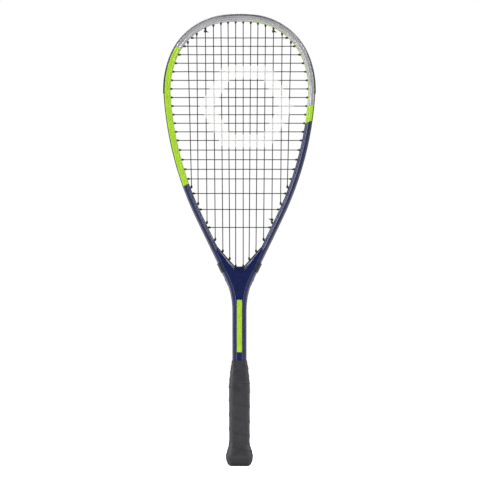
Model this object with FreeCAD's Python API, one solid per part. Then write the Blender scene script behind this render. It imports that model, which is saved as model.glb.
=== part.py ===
import FreeCAD, Part

import math
import os

from FreeCAD import Vector

# Squash racket with an aluminium frame, in millimetres.
# Z runs from the butt to the crown, X lies across the head, Y is square to the strings.
# The origin is the centre of the butt's end face. The right side (X > 0) is modelled and
# mirrored wherever both sides are alike.

# ---- overall size ----
overall_length = 635.0
head_width = 214.6

# ---- head outline: headings turn clockwise from the crown, radii are of the tube's centreline ----
crown_radius = 203.2
crown_turn = 6.2
shoulder_turn = 61.9
side_radius = 125.0
side_turn = 25.9
flank_radius = 466.5
flank_turn = 21.8
throat_radius = 110.0

# ---- frame tube: an extrusion with a string groove along its outside ----
tube_width = 9.8
tube_depth = 18.0
tube_wall = 0.8
tube_inner_bevel = (2.0, 2.4)
tube_outer_bevel = (2.0, 2.8)
tube_corner_radius = 0.8
crease_offset = -1.4
crease_half_width = 0.6
crease_depth = 0.4
leg_gap = 0.2
leg_end_z = 6.0

# ---- strings ----
string_diameter = 1.3
first_main_x = 5.3
main_top_gaps = (10.7, 10.0, 10.7, 11.4, 12.3, 12.8)
main_foot_gaps = (9.2, 9.8, 10.9, 11.6, 12.4, 9.5)
side_main_gap = 23.7
hole_spacing = 6.5
top_cross_drop = 22.4
cross_pitch = 12.07
lower_cross_pitch = 13.55
lower_cross_count = 4
last_cross_gaps = (20.5, 22.5, 25.3)
last_cross_rise = 26.4
tie_main = 4
tie_start_main = 6
weave_bend_radius = 4.0
weave_clearance = 0.06
loop_sides = 12
turn_gap = 0.15

# ---- string guards ----
strip_thickness = 1.1
strip_wall = 0.65
strip_fit = 0.05
string_cover = 0.25
track_clearance = 0.3
barrel_wall = 0.85
barrel_start = 0.7
nose_tip_wall = 0.45
nose_length = 2.6
nose_clearance = 0.1
bore_clearance = 0.1
hole_clearance = 0.1
hole_lean_max = 12.0
bore_overrun = 1.0
drill_overrun = 1.5
bumper_stand_out = 0.6
bumper_drop = 111.6
bumper_skirt_inset = 0.3
bumper_lip = (0.7, 0.35)
bumper_shoulder = (0.5, 0.9)
rail_chamfer = 0.4
strip_end_gap = 0.4
knot_wall = 1.44
knot_height = 3.2
knot_edge_radius = 0.9
knot_tail = 2.8
knot_clearance = 0.15

# ---- throat yoke and its tongue down the shaft ----
throat_floor_rise = 62.36
throat_floor_half_width = 6.0
throat_v_angle = 41.7
liner_thickness = 1.5
liner_half_depth = 5.0
yoke_stand_out = 0.9
yoke_half_gap = 0.05
yoke_fit = 0.12
yoke_edge = -0.75
yoke_edge_chamfer = 0.5
yoke_edge_lean = 1.0
facet_drop = 5.0
facet_depth = 4.0
cutter_size = 200.0
cutter_margin = 10.0
pocket_floor_thickness = 5.0
pocket_margin = 1.75
pocket_height = 4.2
second_main_drop = 2.7
inlay_half_width = 3.5
inlay_top_rise = 15.56
inlay_bottom_rise = 12.0
inlay_edge_radius = 0.3
inlay_thickness = 0.8
inlay_stand_out = 0.15
inlay_fit = 0.05

# ---- throat clips and rivets ----
strip_end_rise = 7.3
clip_top_rise = 4.3
clip_bulge_drop = 8.7
clip_bottom_drop = 26.7
clip_bulge_stand_out = 1.5
clip_slab_stand_out = 0.5
clip_wrap = 3.2
clip_slab_wrap = 1.6
clip_face_stand_out = 0.7
clip_chamfer = 0.3
clip_shoulder = (1.4, 3.0)
clip_edge_drop = 1.2
clip_channel_step = 2.0
rivet_drop = 17.2
rivet_radius = 1.5
rivet_head_radius = 2.5
rivet_head_top_radius = 1.75
rivet_head_height = 0.9
rivet_reach = 2.4

# ---- handle ----
handle_top_z = 141.0
cone_bottom_z = 113.6
pallet_walls = (3.0, 2.5)
pallet_top_walls = (1.1, 0.6)
grip_bevel_share = 0.3
wrap_thickness = 1.8
wrap_top_thickness = 0.9
wrap_fit = 0.05
wrap_bottom_z = 10.5
flare_start_z = 34.0
flare_steps = ((29.2, 0.5), (22.2, 2.7), (14.5, 4.8))
flare_bottom_out = 4.3
cap_lip_steps = ((8.0, 4.0), (2.5, 1.8), (0.0, -1.7))
cap_floor = 3.0
cap_wall = 1.3
cap_top_z = 32.0
cap_fit = 0.1
cap_lip_gap = 0.1
pallet_tube_fit = 0.12
pallet_half_gap = 0.05
tack_z = 20.0
tack_radius = 0.7
tack_head_out = 2.4
tack_stop = 0.25
collar_height = 7.0
collar_gap = 0.1
collar_bottom_walls = (1.6, 1.8)
collar_top_walls = (0.9, 1.1)

# ---- values that follow from those above ----
half_tube = tube_width / 2
half_depth = tube_depth / 2
string_radius = string_diameter / 2
loop_track_y = (string_diameter + track_clearance) / 2
tie_track_y = loop_track_y + string_diameter + track_clearance / 2
channel_half_width = tie_track_y + string_radius + bore_clearance
groove_half_width = channel_half_width + strip_wall + strip_fit
groove_depth = strip_fit + strip_thickness + string_diameter + string_cover
groove_floor = half_tube - groove_depth
strip_floor = groove_floor + strip_fit
strip_top = strip_floor + strip_thickness
loop_level = strip_top + string_radius
barrel_radius = string_radius + bore_clearance + barrel_wall
nose_tip_radius = string_radius + bore_clearance + nose_tip_wall
inner_half_width = head_width / 2 - bumper_stand_out - tube_width
main_spread = (inner_half_width - side_main_gap - first_main_x) / sum(main_top_gaps)
leg_x = leg_gap / 2 + half_tube
legs_half_width = leg_x + half_tube
tube_crown_z = overall_length - bumper_stand_out
bumper_end_z = overall_length - bumper_drop
yoke_face = half_depth + yoke_stand_out
pocket_half_width = first_main_x + barrel_radius + pocket_margin
pocket_half_depth = barrel_radius + pocket_margin
collar_top_z = handle_top_z + collar_height
inlay_bottom_z = collar_top_z + inlay_bottom_rise
mains_per_side = 1 + len(main_top_gaps)

Y_AXIS = Vector(0, 1, 0)
CENTRE = Vector(0, 0, 0)
SIDEWAYS = Vector(1, 0, 0)


# ---------------------------------------------------------------- the frame's centreline

def outward(heading):
    """Unit vector square to the tube, away from the head's middle."""
    angle = math.radians(heading)
    return Vector(math.sin(angle), 0, math.cos(angle))


def along(heading):
    """Unit vector along the tube, away from the crown."""
    angle = math.radians(heading)
    return Vector(math.cos(angle), 0, -math.sin(angle))


def shoulder_radius():
    """The shoulder's radius that gives the head its width."""
    first = math.radians(crown_turn)
    second = math.radians(crown_turn + shoulder_turn)
    half = head_width / 2 - bumper_stand_out - half_tube
    across = half - crown_radius * math.sin(first) - side_radius * (1 - math.sin(second))
    return across / (math.sin(second) - math.sin(first))


class Stretch:
    """One straight or round stretch of the centreline."""

    def __init__(self, start, heading, length, radius=0.0, sense=1):
        self.start = start
        self.heading = heading
        self.length = length
        self.radius = radius
        self.sense = sense
        if radius:
            self.centre = start - outward(heading) * (sense * radius)

    def heading_at(self, distance):
        if not self.radius:
            return self.heading
        return self.heading + self.sense * math.degrees(distance / self.radius)

    def point_at(self, distance):
        if not self.radius:
            return self.start + along(self.heading) * distance
        return self.centre + outward(self.heading_at(distance)) * (self.sense * self.radius)


def centreline():
    """Stretches of the right half, from the crown to the leg's end in the handle."""
    stretches = []
    point = Vector(0, 0, tube_crown_z - half_tube)
    heading = 0.0
    bends = ((crown_radius, crown_turn), (shoulder_radius(), shoulder_turn),
             (side_radius, side_turn), (flank_radius, flank_turn))
    for radius, turn in bends:
        stretch = Stretch(point, heading, radius * math.radians(turn), radius)
        stretches.append(stretch)
        point = stretch.point_at(stretch.length)
        heading += turn
    lean = math.radians(heading - 90)
    run = (point.x - leg_x - throat_radius * (1 - math.cos(lean))) / math.sin(lean)
    stretches.append(Stretch(point, heading, run))
    point = stretches[-1].point_at(run)
    stretches.append(Stretch(point, heading, throat_radius * lean, throat_radius, -1))
    point = stretches[-1].point_at(throat_radius * lean)
    stretches.append(Stretch(point, 90.0, point.z - leg_end_z))
    return stretches


PATH = centreline()
PATH_LENGTH = sum(stretch.length for stretch in PATH)
SHAFT_TOP_Z = PATH[-1].start.z
throat_floor_z = SHAFT_TOP_Z + throat_floor_rise
strip_end_z = throat_floor_z + strip_end_rise
clip_top_z = throat_floor_z + clip_top_rise
clip_bulge_z = throat_floor_z - clip_bulge_drop
clip_bottom_z = throat_floor_z - clip_bottom_drop
rivet_z = throat_floor_z - rivet_drop
inlay_top_z = SHAFT_TOP_Z + inlay_top_rise
WIDEST = sum(stretch.length for stretch in PATH[:2]) + side_radius * math.radians(
    90 - crown_turn - shoulder_turn)


def locate(distance):
    """The point on the centreline and the heading there."""
    for stretch in PATH:
        if distance <= stretch.length:
            return stretch.point_at(distance), stretch.heading_at(distance)
        distance -= stretch.length
    last = PATH[-1]
    return last.point_at(last.length), last.heading_at(last.length)


def beside(distance, offset):
    """The point at an offset square to the centreline."""
    point, heading = locate(distance)
    return point + outward(heading) * offset


def find(low, high, offset, measure, target):
    """Distance along the path where measure(point) meets the target, by halving."""
    rising = measure(beside(high, offset)) > measure(beside(low, offset))
    for _ in range(50):
        middle = (low + high) / 2
        above = measure(beside(middle, offset)) > target
        if above == rising:
            high = middle
        else:
            low = middle
    return (low + high) / 2


def x_of(point):
    return point.x


def z_of(point):
    return point.z


def at_height(z, offset=0.0):
    """Distance along the path where the given offset line reaches a height."""
    return find(0, PATH_LENGTH, offset, z_of, z)


# ---------------------------------------------------------------- sections and sweeps

def shifted_outline(points, distance):
    """A polygon (listed anticlockwise) with every side moved outward by a distance."""
    result = []
    count = len(points)
    for index in range(count):
        before = points[index - 1]
        here = points[index]
        after = points[(index + 1) % count]
        first = (here[0] - before[0], here[1] - before[1])
        second = (after[0] - here[0], after[1] - here[1])
        first_size = math.hypot(*first)
        second_size = math.hypot(*second)
        normal_a = (first[1] / first_size, -first[0] / first_size)
        normal_b = (second[1] / second_size, -second[0] / second_size)
        share = 1 + normal_a[0] * normal_b[0] + normal_a[1] * normal_b[1]
        result.append((here[0] + distance * (normal_a[0] + normal_b[0]) / share,
                       here[1] + distance * (normal_a[1] + normal_b[1]) / share))
    return result


def place(point, heading, spot):
    """A section's (offset, y) spot set square to the path."""
    return point + outward(heading) * spot[0] + Y_AXIS * spot[1]


def section_wire(points, distance, rounded=()):
    """The section at a distance along the path; the corners listed in rounded get an arc."""
    point, heading = locate(distance)
    corners = [place(point, heading, spot) for spot in points]
    starts = []
    ends = []
    edges = []
    count = len(corners)
    for index, corner in enumerate(corners):
        if index not in rounded:
            starts.append(corner)
            ends.append(corner)
            continue
        back = (corners[index - 1] - corner).normalize()
        ahead = (corners[(index + 1) % count] - corner).normalize()
        half_angle = back.getAngle(ahead) / 2
        reach = tube_corner_radius / math.tan(half_angle)
        start = corner + back * reach
        end = corner + ahead * reach
        bisector = (back + ahead).normalize()
        to_centre = tube_corner_radius / math.sin(half_angle)
        middle = corner + bisector * (to_centre - tube_corner_radius)
        edges.append(Part.Arc(start, middle, end).toShape())
        starts.append(start)
        ends.append(end)
    for index in range(count):
        edges.append(Part.makeLine(ends[index], starts[(index + 1) % count]))
    return Part.Wire(Part.sortEdges(edges)[0])


def sweep(points, start, end, rounded=()):
    """A solid of constant section along the right half's path between two distances."""
    pieces = []
    begun = 0.0
    for stretch in PATH:
        low = max(start, begun)
        high = min(end, begun + stretch.length)
        begun += stretch.length
        if high - low < 1e-6:
            continue
        middle_low = low + 1e-9
        face = Part.Face(section_wire(points, middle_low, rounded))
        if stretch.radius:
            angle = stretch.sense * math.degrees((high - low) / stretch.radius)
            pieces.append(face.revolve(stretch.centre, Y_AXIS, angle))
        else:
            pieces.append(face.extrude(along(stretch.heading) * (high - low)))
    return join(pieces)


def join(pieces):
    """One solid from touching pieces, with the seams between like faces removed."""
    if len(pieces) == 1:
        return pieces[0]
    return pieces[0].multiFuse(pieces[1:]).removeSplitter()


def mirrored(shape):
    """The left-hand copy of a right-hand shape."""
    return shape.mirror(CENTRE, SIDEWAYS)


def turned(shape):
    """The copy turned half round the racket's long axis."""
    return shape.rotated(CENTRE, Vector(0, 0, 1), 180)


def to_back(shape):
    """The back copy of a front shape."""
    return shape.mirror(CENTRE, Y_AXIS)


def both_sides(shape):
    return join([shape, mirrored(shape)])


def tube_outline():
    """The tube's outer section: bevelled edges, a crease down each face, a groove outside."""
    inner_face_y = half_depth - tube_inner_bevel[1]
    inner_land = -half_tube + tube_inner_bevel[0]
    outer_face_y = half_depth - tube_outer_bevel[1]
    outer_land = half_tube - tube_outer_bevel[0]
    lower = [(-half_tube, -inner_face_y), (inner_land, -half_depth),
             (crease_offset - crease_half_width, -half_depth),
             (crease_offset, -half_depth + crease_depth),
             (crease_offset + crease_half_width, -half_depth),
             (outer_land, -half_depth), (half_tube, -outer_face_y),
             (half_tube, -groove_half_width), (groove_floor, -groove_half_width)]
    upper = [(offset, -y) for offset, y in reversed(lower)]
    return lower + upper


def tube_cavity():
    """The extrusion's inside, one wall in from the outline and without the creases."""
    outline = [spot for spot in tube_outline() if abs(spot[0] - crease_offset) > crease_half_width + 0.01]
    return shifted_outline(outline, -tube_wall)


ROUNDED_CORNERS = (0, 1, 5, 6, 11, 12, 16, 17)


def box(x_range, y_range, z_range):
    size = Vector(x_range[1] - x_range[0], y_range[1] - y_range[0], z_range[1] - z_range[0])
    return Part.makeBox(size.x, size.y, size.z, Vector(x_range[0], y_range[0], z_range[0]))


def rod(start, end, radius):
    return Part.makeCylinder(radius, (end - start).Length, start, end - start)


def taper(start, end, start_radius, end_radius):
    return Part.makeCone(start_radius, end_radius, (end - start).Length, start, end - start)


# ---------------------------------------------------------------- where the strings go

def main_top_x(index):
    return first_main_x + sum(main_top_gaps[:index]) * main_spread


def main_foot_x(index):
    return first_main_x + sum(main_foot_gaps[:index]) * main_spread


def v_edge_z(x):
    """Height of the throat's V at a distance from the middle."""
    rise = max(0.0, x - throat_floor_half_width) / math.tan(math.radians(throat_v_angle))
    return throat_floor_z + rise


def above_v(point):
    return point.z - v_edge_z(point.x)


V_TOP_PLACE = find(WIDEST, PATH_LENGTH, -half_tube, above_v, 0)
V_TOP = beside(V_TOP_PLACE, -half_tube)
V_LEAN = math.radians(throat_v_angle)
yoke_floor_z = throat_floor_z - liner_thickness
yoke_floor_half_width = throat_floor_half_width + liner_thickness * (1 - math.sin(V_LEAN)) / math.cos(V_LEAN)
yoke_top_z = V_TOP.z - liner_thickness / math.sin(V_LEAN)


def cross_heights():
    """Even rows below the crown, then wider gaps towards the V; an even number of rows in all."""
    top = tube_crown_z - tube_width - top_cross_drop
    widening = lower_cross_pitch * lower_cross_count + sum(last_cross_gaps)
    span = top - V_TOP.z - last_cross_rise - widening
    rows_left = lower_cross_count + len(last_cross_gaps) + 1
    count = 2 * round((span / cross_pitch + rows_left) / 2) - rows_left
    gaps = [span / count] * count + [lower_cross_pitch] * lower_cross_count
    heights = [top]
    for gap in gaps + list(last_cross_gaps):
        heights.append(heights[-1] - gap)
    return heights


class End:
    """One string end: where its hole meets the inner wall, where it leaves, where it bends."""

    def __init__(self, inside, outside, wall_normal, direction, guard):
        self.inside = inside
        self.outside = outside
        self.way_in = (inside - outside).normalize()
        self.direction = direction
        self.guard = guard
        swing = math.sin(wall_normal.getAngle(direction))
        stand_off = barrel_radius * swing + nose_clearance
        self.bend = inside + self.way_in * (stand_off / self.way_in.dot(wall_normal))

    def aim(self, target):
        """Point the nose at the string's next point."""
        self.direction = (target - self.bend).normalize()


def turned_vector(vector):
    return Vector(-vector.x, -vector.y, vector.z)


def turned_end(end):
    """The same end turned half round the racket's long axis, which is how the left side repeats."""
    copy = End.__new__(End)
    copy.inside = turned_vector(end.inside)
    copy.outside = turned_vector(end.outside)
    copy.way_in = turned_vector(end.way_in)
    copy.direction = turned_vector(end.direction)
    copy.bend = turned_vector(end.bend)
    copy.guard = end.guard
    return copy


def way_through(heading, string_direction):
    """Way in through the tube: square to it, but leaning a little in line with the string."""
    straight_in = outward(heading) * -1
    angle = math.degrees(straight_in.getAngle(string_direction))
    if angle < 0.01:
        return straight_in
    lean = min(angle, hole_lean_max)
    return FreeCAD.Rotation(straight_in.cross(string_direction), lean).multVec(straight_in)


def guard_at(distance):
    """Name of the string guard that lines the groove at a distance along the path."""
    if distance < at_height(bumper_end_z):
        return "bumper"
    return "strip"


def tube_end(distance, string_direction):
    """A string end whose hole starts on the tube's inner face."""
    heading = locate(distance)[1]
    inside = beside(distance, -half_tube)
    way_in = way_through(heading, string_direction)
    normal = outward(heading) * -1
    outside = inside - way_in * ((half_tube + strip_top) / way_in.dot(normal))
    return End(inside, outside, normal, string_direction, guard_at(distance))


def yoke_foot(index, foot, up):
    """The foot of a main string whose hole starts on the throat's V."""
    if index == 0:
        outside = foot - Vector(0, 0, pocket_floor_thickness + strip_thickness)
        return End(foot, outside, Vector(0, 0, 1), up, "throat")
    normal = Vector(-math.cos(V_LEAN), 0, math.sin(V_LEAN))
    if index == 1:
        outside = beside(at_height(throat_floor_z - second_main_drop, strip_top), strip_top)
        return End(foot, outside, normal, up, "clip")
    leg_point, heading = locate(at_height(foot.z))
    way_in = way_through(heading, up)
    depth = (leg_point - foot).dot(outward(heading)) + strip_top
    outside = foot + way_in * (depth / way_in.dot(outward(heading)))
    return End(foot, outside, normal, up, "strip")


CROSS_Z = cross_heights()
CROSS_PLACES = [find(0, PATH_LENGTH, -half_tube, z_of, z) for z in CROSS_Z]


def clear_of_crosses(distance):
    """The distance itself, or the nearest one that keeps the hole spacing from every cross."""
    nearest = min(CROSS_PLACES, key=lambda taken: abs(taken - distance))
    if abs(nearest - distance) >= hole_spacing:
        return distance
    return nearest + math.copysign(hole_spacing, distance - nearest)


def main_ends(index):
    """Top and foot of a main string, counted from the middle."""
    top_place = clear_of_crosses(find(0, WIDEST, -half_tube, x_of, main_top_x(index)))
    top = beside(top_place, -half_tube)
    foot_x = main_foot_x(index)
    foot_place = clear_of_crosses(find(WIDEST, PATH_LENGTH, -half_tube, x_of, foot_x))
    foot = beside(foot_place, -half_tube)
    in_yoke = v_edge_z(foot_x) > foot.z
    if in_yoke:
        foot = Vector(foot_x, 0, v_edge_z(foot_x))
    down = (foot - top).normalize()
    top_end = tube_end(top_place, down)
    foot_end = yoke_foot(index, foot, down * -1) if in_yoke else tube_end(foot_place, down * -1)
    top_end.aim(foot_end.bend)
    foot_end.aim(top_end.bend)
    return top_end, foot_end


MAINS = [main_ends(index) for index in range(mains_per_side)]


def weave_corners(row, z):
    """Corners of a cross string's zigzag over and under the mains."""
    lift = string_diameter + weave_clearance
    slope = math.atan(2 * lift / (min(main_top_gaps + main_foot_gaps) * main_spread))
    lift += weave_bend_radius * (1 / math.cos(slope) - 1)
    crossings = []
    for index, (top, foot) in enumerate(MAINS):
        if foot.bend.z + nose_length < z < top.bend.z - nose_length / 2:
            share = (z - foot.bend.z) / (top.bend.z - foot.bend.z)
            x = foot.bend.x + share * (top.bend.x - foot.bend.x)
            crossings += [(-x, mains_per_side - 1 - index), (x, mains_per_side + index)]
    return [Vector(x, lift if (column + row) % 2 else -lift, z) for x, column in sorted(crossings)]


def cross_end(row):
    """The right-hand end of a cross string, aimed at its last crossing."""
    end = tube_end(CROSS_PLACES[row], Vector(-1, 0, 0))
    end.aim(weave_corners(row, end.bend.z)[-1])
    return end


CROSSES = [cross_end(row) for row in range(len(CROSS_Z))]
ALL_ENDS = [end for pair in MAINS for end in pair] + CROSSES


def knuckle(end, radius):
    """The ball where a string turns into its hole, with its poles on the hole's line."""
    return Part.makeSphere(radius, end.bend, end.way_in)


def barrel(end):
    """A string guard's tube through the frame with its nose on the inside."""
    start = end.outside + end.way_in * barrel_start
    through = rod(start, end.bend, barrel_radius)
    nose = taper(end.bend, end.bend + end.direction * nose_length, barrel_radius, nose_tip_radius)
    return through.fuse([knuckle(end, barrel_radius), nose])


def barrel_bore(end):
    """The string's way through a barrel."""
    radius = string_radius + bore_clearance
    through = rod(end.outside - end.way_in * bore_overrun, end.bend, radius)
    mouth = rod(end.bend, end.bend + end.direction * (nose_length + bore_overrun), radius)
    return through.fuse([knuckle(end, radius), mouth])


def hole(end):
    """The drilled hole for a barrel."""
    start = end.outside - end.way_in * drill_overrun
    return rod(start, end.inside + end.way_in * drill_overrun, barrel_radius + hole_clearance)


def with_barrels(strip, ends):
    """A guard strip with a barrel for each string end, bored for the string."""
    body = strip.fuse([barrel(end) for end in ends])
    return body.cut([barrel_bore(end) for end in ends])


# ---------------------------------------------------------------- frame and string guards

def frame_tube():
    """The bent extrusion: head, legs and shaft in one hollow tube, drilled for the strings."""
    outer = sweep(tube_outline(), 0, PATH_LENGTH, ROUNDED_CORNERS)
    inner = sweep(tube_cavity(), 0, PATH_LENGTH)
    body = both_sides(outer).cut(both_sides(inner))
    drills = [hole(end) for end in ALL_ENDS if end.guard != "throat"]
    drills.append(rivet_shank(hole_clearance))
    return body.cut(drills + [mirrored(drill) for drill in drills])


def tube_room(clearance):
    """The space the tube takes, grown by a clearance, for parts that fit against it."""
    outline = [(-half_tube, -half_depth + tube_inner_bevel[1]),
               (-half_tube + tube_inner_bevel[0], -half_depth),
               (half_tube - tube_outer_bevel[0], -half_depth),
               (half_tube, -half_depth + tube_outer_bevel[1])]
    outline += [(offset, -y) for offset, y in reversed(outline)]
    return sweep(shifted_outline(outline, clearance), 0, PATH_LENGTH)


def channel_section():
    """The bumper's section: a base in the groove, two channel walls and rails over the tube's edge."""
    wall_y = groove_half_width - strip_fit
    edge = half_tube + strip_fit
    rail_top = half_tube + bumper_stand_out
    bevel_y = half_depth - tube_outer_bevel[1]
    skirt = half_depth - bumper_skirt_inset
    slope = tube_outer_bevel[0] / tube_outer_bevel[1]
    skirt_edge = edge - (skirt - bevel_y) * slope
    skirt_lip = (skirt_edge + bumper_lip[0], skirt + bumper_lip[1])
    shoulder = (rail_top - bumper_shoulder[0], bevel_y + bumper_shoulder[1])
    right = [(strip_floor, wall_y), (edge, wall_y), (edge, bevel_y), (skirt_edge, skirt), skirt_lip,
             shoulder, (rail_top, bevel_y - bumper_shoulder[0]),
             (rail_top, channel_half_width + rail_chamfer),
             (rail_top - rail_chamfer, channel_half_width), (strip_top, channel_half_width)]
    left = [(offset, -y) for offset, y in reversed(right)]
    return left + right


def bumper_guard():
    """The crown guard, which wraps the tube's outer edge and holds the strings in its channel."""
    strip = sweep(channel_section(), 0, at_height(bumper_end_z))
    ends = [entry for entry in ALL_ENDS if entry.guard == "bumper"]
    return with_barrels(both_sides(strip), ends + [turned_end(entry) for entry in ends])


def grommet_strip():
    """The right-hand side strip, which lies in the tube's groove below the bumper."""
    start = at_height(bumper_end_z) + strip_end_gap
    end = at_height(strip_end_z, strip_top)
    wall_y = groove_half_width - strip_fit
    section = [(strip_floor, -wall_y), (strip_top, -wall_y), (strip_top, wall_y), (strip_floor, wall_y)]
    ends = [entry for entry in ALL_ENDS if entry.guard == "strip"]
    return with_barrels(sweep(section[::-1], start, end), ends)


def flat_solid(points, half_depth_y):
    """A solid with an (x, z) outline, half of it in front of the string bed and half behind."""
    corners = [Vector(x, -half_depth_y, z) for x, z in points]
    face = Part.Face(Part.makePolygon(corners + corners[:1]))
    return face.extrude(Vector(0, 2 * half_depth_y, 0))


def throat_liner():
    """The black edging along the V, which the legs end and the outer barrels pass through."""
    right = [(throat_floor_half_width, throat_floor_z), (V_TOP.x, V_TOP.z),
             (V_TOP.x, yoke_top_z), (yoke_floor_half_width, yoke_floor_z)]
    left = [(-x, z) for x, z in reversed(right)]
    room = tube_room(strip_fit)
    drills = [hole(end) for end in ALL_ENDS if end.guard != "throat" and end.inside.z < V_TOP.z]
    cutters = [room] + drills
    return flat_solid(right + left, liner_half_depth).cut(cutters + [mirrored(cut) for cut in cutters])


def throat_grommet():
    """The insert between the yoke's halves that edges the V and guides the two centre mains."""
    plate_top = throat_floor_z - pocket_floor_thickness
    half = pocket_half_width - hole_clearance
    deep = pocket_half_depth - hole_clearance
    plate = box((-half, half), (-deep, deep), (plate_top - strip_thickness, plate_top))
    right = MAINS[0][1]
    return with_barrels(plate.fuse(throat_liner()), [right, turned_end(right)])


def saddle(top, bottom, stand_out, wrap):
    """A block astride the leg's outer edge between two heights."""
    low_face = half_tube - wrap
    edge = half_tube + stand_out
    skirt = half_depth + clip_face_stand_out
    right = [(low_face, skirt - clip_chamfer), (low_face + clip_chamfer, skirt),
             (half_tube - clip_shoulder[0], skirt), (edge - rail_chamfer, half_depth - clip_shoulder[1]),
             (edge, half_depth - clip_shoulder[1] - clip_edge_drop)]
    left = [(offset, -y) for offset, y in reversed(right)]
    start = at_height(top, half_tube)
    end = at_height(bottom, half_tube)
    return sweep(left + right, start, end)


def groove_filler(top, bottom, clearance):
    """The groove's own space between two heights."""
    wall_y = groove_half_width - clearance
    floor = groove_floor + clearance
    rim = half_tube + clip_slab_stand_out
    section = [(floor, -wall_y), (rim, -wall_y), (rim, wall_y), (floor, wall_y)]
    return sweep(section[::-1], at_height(top, half_tube), at_height(bottom, half_tube))


def throat_clip():
    """The right-hand clip: it caps the strip's end, guards the second main and holds the yoke."""
    bulge = saddle(clip_top_z, clip_bulge_z, clip_bulge_stand_out, clip_wrap)
    slab = saddle(clip_bulge_z, clip_bottom_z, clip_slab_stand_out, clip_slab_wrap)
    shell = bulge.fuse(slab).cut(tube_room(strip_fit))
    body = shell.fuse(groove_filler(clip_top_z, clip_bottom_z, strip_fit))
    wall = channel_half_width
    roof = loop_level + string_radius + bore_clearance
    track = [(strip_top, wall), (roof, wall), (roof, -wall), (strip_top, -wall)]
    channel_start = at_height(clip_top_z + clip_channel_step, half_tube)
    channel_end = at_height(clip_bulge_z + clip_channel_step, half_tube)
    body = body.cut(sweep(track, channel_start, channel_end))
    body = with_barrels(body, [MAINS[1][1]])
    return body.cut([rivet_shank(hole_clearance), rivet_head(hole_clearance)])


def on_rivet_line(offset):
    """The point on the right rivet's line at an offset from the leg's centre."""
    return beside(at_height(rivet_z), offset)


def rivet_shank(clearance):
    outer = on_rivet_line(half_tube + clip_slab_stand_out)
    inner = on_rivet_line(-half_tube - rivet_reach - clearance)
    return rod(outer, inner, rivet_radius + clearance)


def rivet_head(clearance):
    face = half_tube + clip_slab_stand_out
    rise = rivet_head_height / 2 + clearance
    return taper(on_rivet_line(face - rise), on_rivet_line(face + rise),
                 rivet_head_radius + clearance, rivet_head_top_radius + clearance)


def throat_rivets():
    """Two rivets, one through each clip, leg and yoke side."""
    right = rivet_shank(0).fuse(rivet_head(0)).removeSplitter()
    return Part.makeCompound([right, mirrored(right)])


# ---------------------------------------------------------------- throat yoke

def cutting_block(point, normal):
    """A large block on the positive side of a plane."""
    size = cutter_size
    block = Part.makeBox(size, size, size, Vector(-size / 2, -size / 2, 0))
    block.Placement = FreeCAD.Placement(point, FreeCAD.Rotation(Vector(0, 0, 1), normal))
    return block


def yoke_outline():
    """The V above, under the liner, wide enough below to be trimmed against the legs."""
    wide = V_TOP.x
    points = [(-wide, yoke_top_z), (-yoke_floor_half_width, yoke_floor_z),
              (yoke_floor_half_width, yoke_floor_z), (wide, yoke_top_z),
              (wide, collar_top_z), (-wide, collar_top_z)]
    corners = [Vector(x, -yoke_face, z) for x, z in points]
    return Part.Face(Part.makePolygon(corners + corners[:1]))


def facet_cutters():
    """Blocks that bevel the front edge of the V: a growing facet each side, an even one between."""
    half = yoke_floor_half_width
    beyond = V_TOP.x + cutter_margin
    heights = (SHAFT_TOP_Z, V_TOP.z + cutter_margin)
    front = (-yoke_face - cutter_margin, 0)
    top = Vector(V_TOP.x, -yoke_face, yoke_top_z)
    low = Vector(half, -yoke_face, yoke_floor_z - facet_drop)
    deep = Vector(half, -yoke_face + facet_depth, yoke_floor_z)
    normal = (low - top).cross(deep - top).normalize()
    if normal.z < 0:
        normal = normal * -1
    side = cutting_block(top, normal).common(box((half, beyond), front, heights))
    level = Vector(0, -facet_depth, -facet_drop)
    middle_normal = Vector(0, level.z, -level.y).normalize()
    middle = cutting_block(low, middle_normal).common(box((-half, half), front, heights))
    return [side, mirrored(side), middle]


def leg_keep_out():
    """Everything outside the yoke's edge line on the right, with a bevelled front edge."""
    beyond = V_TOP.x + cutter_margin
    front = -yoke_face - cutter_margin
    lean = yoke_edge_lean * (yoke_edge_chamfer + cutter_margin)
    section = [(yoke_edge, cutter_margin), (yoke_edge, -yoke_face + yoke_edge_chamfer),
               (yoke_edge - lean, front), (beyond, front), (beyond, cutter_margin)]
    return sweep(section, V_TOP_PLACE - cutter_margin, PATH_LENGTH)


def throat_yoke():
    """The front half: it fills the V between the legs and runs down the shaft as a tongue."""
    block = yoke_outline().extrude(Vector(0, yoke_face - yoke_half_gap, 0))
    keep_out = leg_keep_out()
    room = tube_room(yoke_fit)
    block = block.cut([keep_out, mirrored(keep_out)])
    block = block.cut([room, mirrored(room)])
    pocket_top = throat_floor_z - pocket_floor_thickness
    pocket = box((-pocket_half_width, pocket_half_width), (-pocket_half_depth, pocket_half_depth),
                 (pocket_top - pocket_height, pocket_top))
    drills = [hole(end) for end in ALL_ENDS if end.inside.z < V_TOP.z + barrel_radius]
    drills.append(rivet_shank(hole_clearance))
    drills += [mirrored(drill) for drill in drills]
    recess = inlay_block(inlay_fit)
    body = block.cut(drills + [pocket, recess] + facet_cutters())
    return max(body.Solids, key=lambda solid: solid.Volume)


def inlay_block(clearance):
    """The strip let into the tongue's front face."""
    front = yoke_face + inlay_stand_out + clearance
    back = yoke_face + inlay_stand_out - inlay_thickness - clearance
    half = inlay_half_width + clearance
    return box((-half, half), (-front, -back), (inlay_bottom_z - clearance, inlay_top_z + clearance))


def shaft_inlay():
    strip = inlay_block(0)
    front = strip.BoundBox.YMin + inlay_edge_radius
    front_edges = [edge for edge in strip.Edges if edge.CenterOfMass.y < front]
    return strip.makeFillet(inlay_edge_radius, front_edges)


# ---------------------------------------------------------------- strings

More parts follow.
